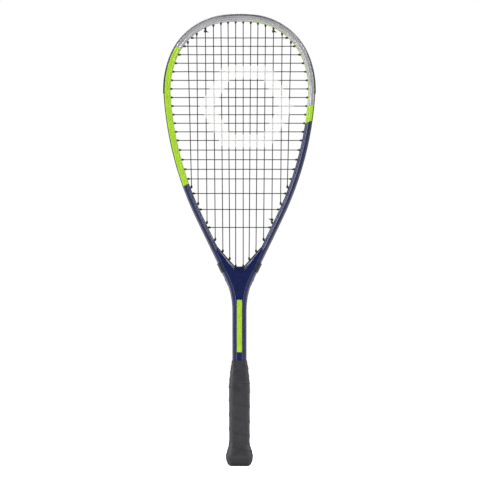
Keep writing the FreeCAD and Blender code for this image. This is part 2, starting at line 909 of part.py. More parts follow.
def string_end(end):
    """The string's stretch through the frame, up to the underside of its outside turn."""
    start = end.outside + end.way_in * turn_gap
    return [rod(start, end.bend, string_radius), knuckle(end, string_radius)]


def main_string(index):
    top, foot = MAINS[index]
    span = rod(top.bend, foot.bend, string_radius)
    return span.fuse(string_end(top) + string_end(foot))


def rounded_wire(points, radius):
    """Straight runs through the points, joined by tangent arcs at the corners."""
    edges = []
    start = points[0]
    for index in range(1, len(points) - 1):
        corner = points[index]
        back = (points[index - 1] - corner).normalize()
        ahead = (points[index + 1] - corner).normalize()
        half_angle = back.getAngle(ahead) / 2
        reach = radius / math.tan(half_angle)
        first = corner + back * reach
        last = corner + ahead * reach
        bisector = (back + ahead).normalize()
        middle = corner + bisector * (radius / math.sin(half_angle) - radius)
        edges.append(Part.makeLine(start, first))
        edges.append(Part.Arc(first, middle, last).toShape())
        start = last
    edges.append(Part.makeLine(start, points[-1]))
    return Part.Wire(edges)


def cross_string(row):
    right = CROSSES[row]
    left = turned_end(right)
    points = [left.bend] + weave_corners(row, right.bend.z) + [right.bend]
    path = rounded_wire(points, weave_bend_radius)
    circle = Part.makeCircle(string_radius, left.bend, left.direction)
    woven = path.makePipe(Part.Face(Part.Wire(circle)))
    return woven.fuse(string_end(left) + string_end(right))


def groove_run(first, second, track):
    """A string's stretch along the groove between two distances, on its own side track."""
    low = min(first, second)
    high = max(first, second)
    section = []
    for step in range(loop_sides):
        angle = -2 * math.pi * step / loop_sides
        section.append((loop_level + string_radius * math.cos(angle),
                        track + string_radius * math.sin(angle)))
    return sweep(section, low, high)


def outer_distance(end):
    """Distance along the path of a string end's outside point."""
    return at_height(end.outside.z, strip_top)


def top_distance(end):
    """The same for an end on the crown, where height alone doesn't tell."""
    return find(0, WIDEST, strip_top, x_of, end.outside.x)


def main_string_loops():
    """Turns outside the frame that join neighbouring mains, and the runs to the tie-offs."""
    tops = [top_distance(top) for top, foot in MAINS]
    feet = [outer_distance(foot) for top, foot in MAINS]
    right = []
    for index in range(0, mains_per_side - 1, 2):
        right.append(groove_run(tops[index], tops[index + 1], loop_track_y))
    for index in range(1, mains_per_side - 1, 2):
        right.append(groove_run(feet[index], feet[index + 1], loop_track_y))
    right.append(groove_run(tops[tie_main], tops[tie_start_main], tie_track_y))
    centre = MAINS[0][1].outside - Vector(0, 0, string_radius)
    across = rod(Vector(-centre.x - string_radius, 0, centre.z),
                 Vector(centre.x + string_radius, 0, centre.z), string_radius)
    return right + [mirrored(run) for run in right] + [across]


def cross_string_loops():
    """Turns outside the frame that join neighbouring crosses, and the runs to the tie-offs."""
    places = [outer_distance(end) for end in CROSSES]
    count = len(places)
    runs = []
    for row in range(0, count - 1, 2):
        runs.append(mirrored(groove_run(places[row], places[row + 1], -loop_track_y)))
    for row in range(1, count - 1, 2):
        runs.append(groove_run(places[row], places[row + 1], -loop_track_y))
    tie_top, tie_foot = MAINS[tie_main]
    runs.append(groove_run(top_distance(tie_top), places[0], -loop_track_y))
    runs.append(groove_run(places[-1], outer_distance(tie_foot), -loop_track_y))
    return runs


def knot(end, sideways):
    """A tie-off knot round a main string at its nose, with a short tail."""
    seat = end.bend + end.direction * (nose_length + knot_clearance)
    top = seat + end.direction * knot_height
    inner = string_radius + weave_clearance
    outer = inner + knot_wall
    bead = rod(seat, top, outer)
    bead = bead.makeFillet(knot_edge_radius, [edge for edge in bead.Edges if edge.Closed])
    tail_start = (seat + top) / 2 + sideways * (outer - string_radius)
    tail = rod(tail_start, tail_start + sideways * knot_tail + end.direction * string_diameter,
               string_radius)
    return bead.fuse(tail).cut(rod(seat - end.direction, top + end.direction, inner))


def string_knots():
    right_top, right_foot = MAINS[tie_main]
    right = Vector(1, 0, 0)
    return [knot(turned_end(right_top), right), knot(right_top, right),
            knot(right_foot, right * -1)]


# ---------------------------------------------------------------- handle

def bevelled_wire(half_x, half_y, z):
    """An eight-sided handle section with wide faces and bevels."""
    cut = grip_bevel_share * half_y
    points = [(half_x, -half_y + cut), (half_x, half_y - cut), (half_x - cut, half_y),
              (-half_x + cut, half_y), (-half_x, half_y - cut), (-half_x, -half_y + cut),
              (-half_x + cut, -half_y), (half_x - cut, -half_y)]
    corners = [Vector(x, y, z) for x, y in points]
    return Part.makePolygon(corners + corners[:1])


def loft(stations):
    """A faceted solid through (z, half_x, half_y) stations."""
    wires = [bevelled_wire(half_x, half_y, z) for z, half_x, half_y in stations]
    return Part.makeLoft(wires, True, True)


def pallet_level(z, out=0.0):
    """A station of the straight pallet, moved outward all round."""
    return (z, legs_half_width + pallet_walls[0] + out, half_depth + pallet_walls[1] + out)


def pallet_top(out=0.0):
    """The station at the cone's top."""
    return (handle_top_z, legs_half_width + pallet_top_walls[0] + out,
            half_depth + pallet_top_walls[1] + out)


def grip_stations(thickness, top_thickness):
    """The wrap's form from the cap's lip to the top of the cone, at a height above the pallet."""
    levels = [(wrap_bottom_z, flare_bottom_out)] + list(reversed(flare_steps))
    levels += [(flare_start_z, 0.0), (cone_bottom_z, 0.0)]
    return [pallet_level(z, out + thickness) for z, out in levels] + [pallet_top(top_thickness)]


def grip_wrap():
    """The cushion wrap as one plain sleeve."""
    outer = loft(grip_stations(wrap_thickness, wrap_top_thickness))
    return outer.cut(loft(grip_stations(wrap_fit, wrap_fit)))


def spigot(clearance):
    """The pallet's smaller end that the butt cap takes."""
    bottom = cap_floor + cap_fit - clearance
    return loft([pallet_level(bottom, clearance - cap_wall),
                 pallet_level(cap_top_z + clearance, clearance - cap_wall)])


def handle_pallet():
    """The front half of the pallet that clamps the two legs."""
    body = loft([pallet_level(cap_top_z), pallet_level(cone_bottom_z), pallet_top()])
    body = body.fuse(spigot(0))
    far = 2 * legs_half_width
    body = body.common(box((-far, far), (-far, -pallet_half_gap), (0, handle_top_z)))
    room = tube_room(pallet_tube_fit)
    body = body.cut([room, mirrored(room), legs_core(), butt_tack(hole_clearance)])
    return max(body.Solids, key=lambda solid: solid.Volume)


def legs_core():
    """The narrow space between the two legs inside the handle."""
    deep = half_depth - tube_inner_bevel[1]
    return box((-leg_x, leg_x), (-deep, deep), (leg_end_z, handle_top_z + 1))


def butt_cap():
    """The moulded cap: a flared lip below the wrap and a socket for the pallet's spigot."""
    lip_top = wrap_bottom_z - cap_lip_gap
    lip = [pallet_level(z, out + wrap_thickness) for z, out in reversed(cap_lip_steps)]
    base = loft(lip + [pallet_level(lip_top, flare_bottom_out + wrap_thickness)])
    under = [pallet_level(lip_top, flare_bottom_out)]
    under += [pallet_level(z, out) for z, out in reversed(flare_steps)]
    neck = loft(under + [pallet_level(cap_top_z)])
    tack = butt_tack(hole_clearance)
    return base.fuse(neck).cut([spigot(cap_fit), tack, to_back(tack)])


def butt_tack(clearance):
    """The front tack through the cap's wall into the pallet."""
    outer = half_depth + pallet_walls[1] + tack_head_out
    inner = half_depth + tack_stop - clearance
    return rod(Vector(0, -outer, tack_z), Vector(0, -inner, tack_z), tack_radius + clearance)


def butt_cap_tacks():
    tack = butt_tack(0)
    return Part.makeCompound([tack, to_back(tack)])


def grip_collar():
    """The rubber ring that closes the top of the wrap round the shaft."""
    outer = loft([(handle_top_z + collar_gap, legs_half_width + collar_bottom_walls[0],
                   half_depth + collar_bottom_walls[1]),
                  (collar_top_z, legs_half_width + collar_top_walls[0],
                   half_depth + collar_top_walls[1])])
    room = tube_room(pallet_tube_fit)
    body = outer.cut([room, mirrored(room), legs_core()])
    return max(body.Solids, key=lambda solid: solid.Volume)


# ---------------------------------------------------------------- files

def export(name, shape):
    """Write one node; a list of solids becomes one file."""
    if isinstance(shape, list):
        shape = Part.makeCompound(shape)
    if not shape.isValid():
        print("not valid:", name)
    shape.exportStep("parts/" + name + ".step")
    print(name, len(shape.Solids), "solids", round(sum(solid.Volume for solid in shape.Solids), 1))


def main():
    os.makedirs("parts", exist_ok=True)
    export("frame_tube", frame_tube())
    export("bumper_guard", bumper_guard())
    strip = grommet_strip()
    export("grommet_strip_right", strip)
    export("grommet_strip_left", turned(strip))
    export("throat_grommet", throat_grommet())
    clip = throat_clip()
    export("throat_clip_right", clip)
    export("throat_clip_left", mirrored(clip))
    export("throat_rivets", throat_rivets())
    yoke = throat_yoke()
    export("throat_yoke_front", yoke)
    export("throat_yoke_back", to_back(yoke))
    inlay = shaft_inlay()
    export("shaft_inlay_front", inlay)
    export("shaft_inlay_back", to_back(inlay))
    mains = [main_string(index) for index in range(mains_per_side)]
    export("main_strings", mains + [mirrored(string) for string in mains])
    export("cross_strings", [cross_string(row) for row in range(len(CROSS_Z))])
    export("main_string_loops", main_string_loops())
    export("cross_string_loops", cross_string_loops())
    export("string_knots", string_knots())
    pallet = handle_pallet()
    export("handle_pallet_front", pallet)
    export("handle_pallet_back", to_back(pallet))
    export("butt_cap", butt_cap())
    export("butt_cap_tacks", butt_cap_tacks())
    export("grip_collar", grip_collar())
    export("grip_wrap", grip_wrap())


main()
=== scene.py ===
"""A squash racket standing on its butt, in metres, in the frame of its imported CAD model.

Z runs from the butt to the crown, X lies across the head and Y is square to the strings.
The CAD nodes keep their shape and get finishes here; the wound grip is a mesh of its own."""

import math

import bmesh
import bpy
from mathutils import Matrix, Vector


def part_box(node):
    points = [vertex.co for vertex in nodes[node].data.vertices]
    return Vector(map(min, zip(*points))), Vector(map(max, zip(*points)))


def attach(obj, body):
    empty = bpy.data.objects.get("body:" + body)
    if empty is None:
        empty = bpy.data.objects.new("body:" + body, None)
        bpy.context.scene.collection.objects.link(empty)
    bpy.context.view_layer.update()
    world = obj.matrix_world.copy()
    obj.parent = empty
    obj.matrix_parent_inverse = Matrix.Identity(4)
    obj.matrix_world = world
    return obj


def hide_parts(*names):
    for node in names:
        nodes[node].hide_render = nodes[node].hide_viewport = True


MM = 0.001

# Most of a noise texture's values lie between these two.
noise_spread = {"From Min": 0.3, "From Max": 0.7}

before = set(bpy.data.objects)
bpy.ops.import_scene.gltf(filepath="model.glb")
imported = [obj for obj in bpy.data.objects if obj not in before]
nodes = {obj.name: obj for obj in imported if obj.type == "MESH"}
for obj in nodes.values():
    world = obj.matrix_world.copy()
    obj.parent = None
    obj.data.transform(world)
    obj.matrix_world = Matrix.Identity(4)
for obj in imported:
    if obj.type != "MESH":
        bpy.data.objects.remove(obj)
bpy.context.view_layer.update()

# ---- paint breaks on the frame: x and z on the tube, and how far the break leans ----
left_silver_break = (-0.0871, 0.5876, -0.38)
left_lime_break = (-0.0743, 0.3950, 0.507)
right_silver_break = (0.1020, 0.5065, 0.0)
right_lime_break = (0.0968, 0.4829, 0.467)
inner_lime_start_x = 0.012
break_softness = 0.15 * MM
# Painted shade: a near-black line on the head's outer edge, deeper than this from the strings' plane and
# above this height, stands in for the shade where the edge turns from the light.
edge_shade_line_depth = 8.1 * MM
edge_shade_line_end_z = 0.300
inner_line_depth = 7.7 * MM
head_middle_z = 0.500
face_slope = 0.9

# ---- white ring on the strings ----
ring_centre_x = 0.010
ring_centre_z = 0.505
ring_outer = 0.057
ring_inner = 0.040

# ---- wound grip: heights, and how far it stands out there from its straight stretch, in mm ----
grip_profile = ((10.5, 4.3), (14.5, 4.8), (22.2, 2.7), (29.2, 0.5), (34.0, 0.0), (113.6, 0.0), (141.0, -2.8))
grip_flare = 4.8 * MM
grip_low, grip_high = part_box("grip_wrap")
tape_pitch = 20.6 * MM
tape_pitch_top = 10.3 * MM
first_seam_z = 24.6 * MM
seams_before_narrowing = 4
tape_step = 0.75 * MM
tape_step_width = 2.6 * MM
tape_edge_radius = 0.3 * MM
tape_groove = 0.25 * MM
tape_groove_width = 0.5 * MM
tape_thickness = 0.7 * MM
grip_bevel_share = 0.3
grip_columns = 96
rows_per_turn = 36
row_crowding = 0.9
outer_corner_power = 16
inner_corner_power = 80
front_turn = 0.25
weld_distance = 0.001 * MM

# ---- camera and studio ----
camera_distance = 6.0
view_width = 0.6748
camera_aim = Vector((0.0008, 0.0, 0.3174))
sensor_width = 36.0
floor_half_size = 8.0
floor_glow = 0.9
world_light = 0.15

# Each softbox: name, azimuth and elevation in degrees, distance, width and height in metres, watts.
# Azimuth 0 is on the camera's side and 90 on the right.
softboxes = (
    ("left_rim", -93, 0, 1.4, 0.6, 1.5, 6),
    ("right_rim", 93, 0, 1.4, 0.6, 1.5, 5),
    ("left_key", -55, 25, 1.6, 0.7, 1.0, 18),
    ("right_fill", 50, 30, 1.6, 0.7, 0.8, 11),
    ("back_key", -150, 52, 1.7, 0.9, 0.9, 16),
    ("back_fill", 142, 48, 1.7, 0.9, 0.9, 12),
    ("left_high", -109, 38, 1.4, 0.6, 0.6, 5),
    ("right_high", 109, 38, 1.4, 0.6, 0.6, 5),
)


# ---------------------------------------------------------------- colours and nodes

def linear(hex_colour):
    """An sRGB hex value as the linear colour that a shader takes."""
    colour = []
    for index in (1, 3, 5):
        value = int(hex_colour[index:index + 2], 16) / 255
        colour.append(value / 12.92 if value <= 0.04045 else ((value + 0.055) / 1.055) ** 2.4)
    return (*colour, 1.0)


# A Mix node blends numbers from input 2 to 3, and colours from input 6 to 7 into output 2.
def add(tree, kind, inputs=None, **settings):
    """A shader node with its settings; an input takes a value, an output or a node's first output."""
    node = tree.nodes.new("ShaderNode" + kind)
    for name, value in settings.items():
        setattr(node, name, value)
    for name, value in (inputs or {}).items():
        if isinstance(value, bpy.types.Node):
            value = value.outputs[0]
        if isinstance(value, bpy.types.NodeSocket):
            tree.links.new(value, node.inputs[name])
        else:
            node.inputs[name].default_value = value
    return node


def per_mm(size):
    """A texture scale for features of that size in millimetres."""
    return 1 / (size * MM)


def start_material(name):
    """An empty material: itself, its tree and the object's own coordinates."""
    material = bpy.data.materials.new(name)
    material.use_nodes = True
    tree = material.node_tree
    tree.nodes.clear()
    return material, tree, add(tree, "TexCoord").outputs["Object"]


def finish_material(tree, surface):
    """The Principled surface that every material ends in."""
    shader = add(tree, "BsdfPrincipled", surface)
    add(tree, "OutputMaterial", {"Surface": shader})


# ---------------------------------------------------------------- frame paint

def above_break(tree, x, z, paint_break):
    """1 above a leaning paint break and 0 below it."""
    break_x, break_z, lean = paint_break
    fall = add(tree, "Math", {0: x, 1: -lean, 2: lean * break_x - break_z}, operation="MULTIPLY_ADD")
    height = add(tree, "Math", {0: fall, 1: z}, operation="ADD")
    return add(tree, "Math", {0: height, 1: 1 / break_softness, 2: 0.5},
               operation="MULTIPLY_ADD", use_clamp=True)


def above_either_break(tree, x, z, left_break, right_break):
    """1 above the left break on the left and above the right break on the right."""
    left = above_break(tree, x, z, left_break)
    right = above_break(tree, x, z, right_break)
    on_right = add(tree, "Math", {0: x, 1: 0.0}, operation="GREATER_THAN")
    return add(tree, "Mix", {0: on_right, 2: left, 3: right}, data_type="FLOAT")


def lacquered_aluminium(name, edge):
    """Aluminium tube, sprayed and clear-coated: solid lime and navy, silver with a metal flake.
    The eye gets a hard gloss with a faint orange peel, a sparkle in the silver, a near-black line of painted
    shade round the head's outer edge and lime inside the silver on one side."""
    material, tree, where = start_material(name)
    x, y, z = add(tree, "SeparateXYZ", {0: where}).outputs
    silver = above_either_break(tree, x, z, left_silver_break, right_silver_break)
    lime = above_either_break(tree, x, z, left_lime_break, right_lime_break)
    colour = add(tree, "Mix", {0: lime, 6: linear("#262B50"), 7: linear("#A0CC1C")},
                 data_type="RGBA").outputs[2]
    colour = add(tree, "Mix", {0: silver, 6: colour, 7: linear("#BABABE")},
                 data_type="RGBA").outputs[2]
    depth = add(tree, "Math", {0: y}, operation="ABSOLUTE")
    if edge == "outer":
        # Painted shade: the outermost part of the outer edge turns near-black and stands in for the shade
        # where the edge turns from the light.
        line = add(tree, "MapRange", {"Value": depth, "From Min": edge_shade_line_depth + break_softness,
                                      "From Max": edge_shade_line_depth})
        on_head = add(tree, "Math", {0: z, 1: edge_shade_line_end_z}, operation="GREATER_THAN")
        line = add(tree, "Math", {0: line, 1: on_head}, operation="MULTIPLY")
        colour = add(tree, "Mix", {0: line, 6: colour, 7: linear("#131417")},
                     data_type="RGBA").outputs[2]
    if edge == "inner":
        low = add(tree, "MapRange", {"Value": depth, "From Min": inner_line_depth + break_softness,
                                     "From Max": inner_line_depth})
        on_right = add(tree, "Math", {0: x, 1: inner_lime_start_x}, operation="GREATER_THAN")
        line = add(tree, "Math", {0: low, 1: on_right}, operation="MULTIPLY")
        line = add(tree, "Math", {0: line, 1: silver}, operation="MULTIPLY")
        colour = add(tree, "Mix", {0: line, 6: colour, 7: linear("#B4CE6A")},
                     data_type="RGBA").outputs[2]
    # Real flake is 0.03 mm; it is drawn at 0.7 mm so that it shows.
    flake = add(tree, "TexNoise", {"Vector": where, "Scale": per_mm(0.7), "Detail": 0.0})
    sparkle = add(tree, "MapRange", {"Value": flake, "From Min": 0.56, "From Max": 0.74, "To Max": 0.25})
    sparkle = add(tree, "Math", {0: sparkle, 1: silver}, operation="MULTIPLY")
    colour = add(tree, "Mix", {0: sparkle, 6: colour, 7: linear("#F2F2F5")},
                 data_type="RGBA").outputs[2]
    cloud = add(tree, "TexNoise", {"Vector": where, "Scale": per_mm(14), "Detail": 3.0})
    value = add(tree, "MapRange", {"Value": cloud, **noise_spread, "To Min": 0.95, "To Max": 1.05})
    colour = add(tree, "HueSaturation", {"Color": colour, "Value": value})
    rough = add(tree, "MapRange", {"Value": cloud, **noise_spread, "To Min": 0.26, "To Max": 0.36})
    peel = add(tree, "TexNoise", {"Vector": where, "Scale": per_mm(1.6)})
    normal = add(tree, "Bump", {"Height": peel, "Distance": 0.012 * MM})
    metal = add(tree, "Math", {0: silver, 1: 0.5}, operation="MULTIPLY")
    finish_material(tree, {"Base Color": colour, "Roughness": rough, "Metallic": metal,
                           "Normal": normal, "Coat Weight": 0.6, "Coat Roughness": 0.05})
    return material


def paint_frame():
    """The tube's faces, outer edge and inner edge, each with its own paint; the outer edge's paint carries a
    line of painted shade.
    """
    tube = nodes["frame_tube"].data
    tube.materials.clear()
    tube.materials.append(lacquered_aluminium("lacquered_tube_face", "none"))
    tube.materials.append(lacquered_aluminium("lacquered_tube_outer_edge_painted_shade", "outer"))
    tube.materials.append(lacquered_aluminium("lacquered_tube_inner_edge", "inner"))
    for face in tube.polygons:
        if abs(face.normal.y) > face_slope:
            face.material_index = 0
            continue
        middle = Vector((0, face.center.y, min(face.center.z, head_middle_z)))
        face.material_index = 1 if face.normal.dot(face.center - middle) > 0 else 2


# ---------------------------------------------------------------- guards, strings and fittings

def moulded_nylon(name, hex_colour):
    """Nylon, injection-moulded in a spark-eroded tool: a fine even grain that breaks up the
    light into a soft sheen, with paler rubbed patches. Real grain is 0.1 mm; it is drawn at
    0.5 mm so that it shows."""
    material, tree, where = start_material(name)
    grain = add(tree, "TexNoise", {"Vector": where, "Scale": per_mm(0.5), "Detail": 3.0})
    rub = add(tree, "TexNoise", {"Vector": where, "Scale": per_mm(7), "Detail": 6.0})
    value = add(tree, "MapRange", {"Value": rub, "From Min": 0.35, "From Max": 0.7,
                                   "To Min": 0.85, "To Max": 1.4})
    colour = add(tree, "HueSaturation", {"Color": linear(hex_colour), "Value": value})
    rough = add(tree, "MapRange", {"Value": rub, "From Min": 0.35, "From Max": 0.7,
                                   "To Min": 0.34, "To Max": 0.5})
    normal = add(tree, "Bump", {"Height": grain, "Distance": 0.05 * MM})
    finish_material(tree, {"Base Color": colour, "Roughness": rough, "Normal": normal, "IOR": 1.53})
    return material


def six_sided_ring(tree, where):
    """1 on a plain six-sided ring laid across the strings and 0 off it."""
    x, y, z = add(tree, "SeparateXYZ", {0: where}).outputs
    across = add(tree, "Math", {0: x, 1: ring_centre_x}, operation="SUBTRACT")
    across = add(tree, "Math", {0: across}, operation="ABSOLUTE")
    up = add(tree, "Math", {0: z, 1: ring_centre_z}, operation="SUBTRACT")
    up = add(tree, "Math", {0: up}, operation="ABSOLUTE")
    slant = add(tree, "Math", {0: across, 1: math.sqrt(3) / 2}, operation="MULTIPLY")
    slant = add(tree, "Math", {0: up, 1: 0.5, 2: slant}, operation="MULTIPLY_ADD")
    reach = add(tree, "Math", {0: up, 1: slant}, operation="MAXIMUM")
    inside = add(tree, "MapRange", {"Value": reach, "From Min": ring_outer + MM, "From Max": ring_outer})
    outside = add(tree, "MapRange", {"Value": reach, "From Min": ring_inner - MM, "From Max": ring_inner})
    return add(tree, "Math", {0: inside, 1: outside}, operation="MULTIPLY")


def twisted_gut(name, inked):
    """Synthetic gut: nylon filaments laid in a helix and dip-coated. The eye gets slanting
    hair lines under a gloss. Real filaments are 0.1 mm wide; they are drawn at 0.8 mm."""
    material, tree, where = start_material(name)
    # Diagonal bands repeat every tau / 10 at a scale of 1.
    lay = add(tree, "TexWave", {"Vector": where, "Scale": per_mm(0.8) * math.tau / 10,
                                "Distortion": 0.4, "Detail": 1.0}, bands_direction="DIAGONAL").outputs[1]
    colour = add(tree, "Mix", {0: lay, 6: linear("#0B0A0C"), 7: linear("#1C1B1E")},
                 data_type="RGBA").outputs[2]
    if inked:
        worn = add(tree, "TexNoise", {"Vector": where, "Scale": per_mm(1.2), "Detail": 2.0})
        cover = add(tree, "MapRange", {"Value": worn, "From Min": 0.34, "From Max": 0.46,
                                       "To Min": 0.2, "To Max": 0.8})
        ink = add(tree, "Math", {0: six_sided_ring(tree, where), 1: cover}, operation="MULTIPLY")
        colour = add(tree, "Mix", {0: ink, 6: colour, 7: linear("#DCDCDA")},
                     data_type="RGBA").outputs[2]
    normal = add(tree, "Bump", {"Height": lay, "Distance": 0.05 * MM})
    finish_material(tree, {"Base Color": colour, "Roughness": 0.42, "Normal": normal, "IOR": 1.5,
                           "Coat Weight": 0.1, "Coat Roughness": 0.15})
    return material


def polished_abs(name, hex_colour, roughness):
    """ABS, moulded in a polished tool: a hard bright gloss over a colour with faint flow marks."""
    material, tree, where = start_material(name)
    flow = add(tree, "TexNoise", {"Vector": where, "Scale": per_mm(9), "Detail": 2.0,
                                  "Distortion": 0.6})
    value = add(tree, "MapRange", {"Value": flow, **noise_spread, "To Min": 0.9, "To Max": 1.1})
    colour = add(tree, "HueSaturation", {"Color": linear(hex_colour), "Value": value})
    rough = add(tree, "MapRange", {"Value": flow, **noise_spread,
                                   "To Min": roughness, "To Max": roughness + 0.08})
    normal = add(tree, "Bump", {"Height": flow, "Distance": 0.03 * MM})
    finish_material(tree, {"Base Color": colour, "Roughness": rough, "Normal": normal, "IOR": 1.54,
                           "Coat Weight": 0.5, "Coat Roughness": 0.04})
    return material


def plated_steel(name, hex_colour):
    """Steel wire, cut and plated: a satin metal with fine drawn marks."""
    material, tree, where = start_material(name)
    marks = add(tree, "TexNoise", {"Vector": where, "Scale": per_mm(0.3), "Detail": 4.0})
    value = add(tree, "MapRange", {"Value": marks, **noise_spread, "To Min": 0.85, "To Max": 1.05})
    colour = add(tree, "HueSaturation", {"Color": linear(hex_colour), "Value": value})
    rough = add(tree, "MapRange", {"Value": marks, **noise_spread, "To Min": 0.28, "To Max": 0.42})
    normal = add(tree, "Bump", {"Height": marks, "Distance": 0.01 * MM})
    finish_material(tree, {"Base Color": colour, "Roughness": rough, "Normal": normal, "Metallic": 1.0})
    return material


def skinned_foam(name, hex_colour):
    """Polyurethane foam, moulded with a closed skin: matt, with small round cells under it.
    Real cells are 0.3 mm; they are drawn at 0.9 mm so that they show."""
    material, tree, where = start_material(name)
    cells = add(tree, "TexVoronoi", {"Vector": where, "Scale": per_mm(0.9)})
    value = add(tree, "MapRange", {"Value": cells, "To Min": 0.85, "To Max": 1.1})
    colour = add(tree, "HueSaturation", {"Color": linear(hex_colour), "Value": value})
    normal = add(tree, "Bump", {"Height": cells, "Distance": 0.15 * MM})
    finish_material(tree, {"Base Color": colour, "Roughness": 0.85, "Normal": normal})
    return material


def soft_rubber(name, hex_colour):
    """Natural rubber, press-moulded with fine ribs: matt and a little dusty."""
    material, tree, where = start_material(name)
    # Level bands repeat every tau / 20 at a scale of 1.
    ribs = add(tree, "TexWave", {"Vector": where, "Scale": per_mm(1.2) * math.tau / 20},
               bands_direction="Z").outputs[1]
    dust = add(tree, "TexNoise", {"Vector": where, "Scale": per_mm(4), "Detail": 4.0})
    value = add(tree, "MapRange", {"Value": dust, **noise_spread, "To Min": 0.85, "To Max": 1.15})
    colour = add(tree, "HueSaturation", {"Color": linear(hex_colour), "Value": value})
    rough = add(tree, "MapRange", {"Value": dust, **noise_spread, "To Min": 0.5, "To Max": 0.66})
    normal = add(tree, "Bump", {"Height": ribs, "Distance": 0.1 * MM})
    finish_material(tree, {"Base Color": colour, "Roughness": rough, "Normal": normal,
                           "Sheen Weight": 0.2, "Sheen Roughness": 0.5})
    return material


def cushion_tape(name, hex_colour):
    """Polyurethane grip tape on felt, embossed like leather: a tacky satin skin with fine
    pebbling that breaks up the light, over soft dents where it was pulled tight. Real
    pebbles are 0.5 mm; they are drawn at 0.9 mm so that they show."""
    material, tree, where = start_material(name)
    pebble = add(tree, "TexVoronoi", {"Vector": where, "Scale": per_mm(0.9), "Randomness": 0.9})
    mottle = add(tree, "TexNoise", {"Vector": where, "Scale": per_mm(9), "Detail": 5.0})
    dent = add(tree, "TexNoise", {"Vector": where, "Scale": per_mm(2.4), "Detail": 2.0})
    value = add(tree, "MapRange", {"Value": mottle, **noise_spread, "To Min": 0.86, "To Max": 1.14})
    colour = add(tree, "HueSaturation", {"Color": linear(hex_colour), "Value": value})
    rough = add(tree, "MapRange", {"Value": mottle, **noise_spread, "To Min": 0.4, "To Max": 0.54})
    dented = add(tree, "Bump", {"Height": dent, "Distance": 0.12 * MM})
    normal = add(tree, "Bump", {"Height": pebble, "Distance": 0.09 * MM, "Normal": dented})
    finish_material(tree, {"Base Color": colour, "Roughness": rough, "Normal": normal, "IOR": 1.46,
                           "Sheen Weight": 0.1, "Sheen Roughness": 0.4})
    return material


def finish_nodes():
    """Each other CAD node's finish."""
    guard = moulded_nylon("moulded_nylon_guard", "#101012")
    clip = moulded_nylon("moulded_nylon_clip", "#0A0A0C")
    gut = twisted_gut("synthetic_gut", False)
    inked_gut = twisted_gut("synthetic_gut_inked", True)
    yoke = polished_abs("polished_abs_yoke", "#021347", 0.16)
    inlay = polished_abs("polished_abs_inlay", "#A0CC1C", 0.3)
    foam = skinned_foam("skinned_foam_pallet", "#C9BC9C")
    finishes = {
        "bumper_guard": guard, "grommet_strip_left": guard, "grommet_strip_right": guard,
        "throat_grommet": guard, "throat_clip_left": clip, "throat_clip_right": clip,
        "main_strings": inked_gut, "cross_strings": inked_gut, "main_string_loops": gut,
        "cross_string_loops": gut, "string_knots": gut, "throat_yoke_front": yoke,
        "throat_yoke_back": yoke, "shaft_inlay_front": inlay, "shaft_inlay_back": inlay,
        "throat_rivets": plated_steel("blackened_steel_rivet", "#3A3B3E"),
        "butt_cap_tacks": plated_steel("plated_steel_tack", "#A7A8AA"),
        "handle_pallet_front": foam, "handle_pallet_back": foam,
        "butt_cap": moulded_nylon("moulded_nylon_cap", "#171715"),
        "grip_collar": soft_rubber("pressed_rubber_collar", "#201F22"),
    }
    for name, finish in finishes.items():
        nodes[name].data.materials.clear()
        nodes[name].data.materials.append(finish)


# ---------------------------------------------------------------- wound grip

def flare_at(height):
    """How far the grip stands out there from its straight stretch."""
    for (low, low_out), (high, high_out) in zip(grip_profile, grip_profile[1:]):
        if height <= high * MM:
            break
    share = (height / MM - low) / (high - low)
    return (low_out + share * (high_out - low_out)) * MM


def section_radius(half_x, half_y, angle, power):
    """Distance from the middle to an eight-sided section whose corners round off with a low power."""
    bevel = (half_x + half_y - grip_bevel_share * half_y) / math.sqrt(2)
    total = 0
    for step, distance in enumerate((half_x, bevel, half_y, bevel) * 2):
        total += max(0, math.cos(angle - step * math.pi / 4) / distance) ** power
    return total ** (-1 / power)


def turns_at(height):
    """Turns of tape between the first seam at the front and a height."""
    narrowing_z = first_seam_z + seams_before_narrowing * tape_pitch
    if height < narrowing_z:
        return (height - first_seam_z) / tape_pitch
    return seams_before_narrowing + (height - narrowing_z) / tape_pitch_top


def height_at(turns):
    """The height that a number of turns reaches at the front, the reverse of turns_at."""
    narrow_turns = max(0, turns - seams_before_narrowing)
    return first_seam_z + (turns - narrow_turns) * tape_pitch + narrow_turns * tape_pitch_top


def tape_lift(height, angle):
    """How far the tape stands out: proud above each seam, easing back, with a groove at the seam."""
    turns = turns_at(height) + angle / math.tau + front_turn
    pitch = tape_pitch if turns_at(height) < seams_before_narrowing else tape_pitch_top
    above = (turns % 1) * pitch
    to_seam = min(above, pitch - above)
    edge = 1 - math.exp(-(above / tape_edge_radius) ** 2)
    step = tape_step * math.exp(-above / tape_step_width) * edge
    return step - tape_groove * math.exp(-to_seam / tape_groove_width)


def grip_point(height, angle, inner=False):
    """A point of the grip's outer skin, or of its plain inner side."""
    half_x = grip_high.x - grip_flare + flare_at(height)
    half_y = grip_high.y - grip_flare + flare_at(height)
    if inner:
        radius = section_radius(half_x, half_y, angle, inner_corner_power) - tape_thickness
    else:
        radius = section_radius(half_x, half_y, angle, outer_corner_power) + tape_lift(height, angle)
    return Vector((radius * math.cos(angle), radius * math.sin(angle), height))


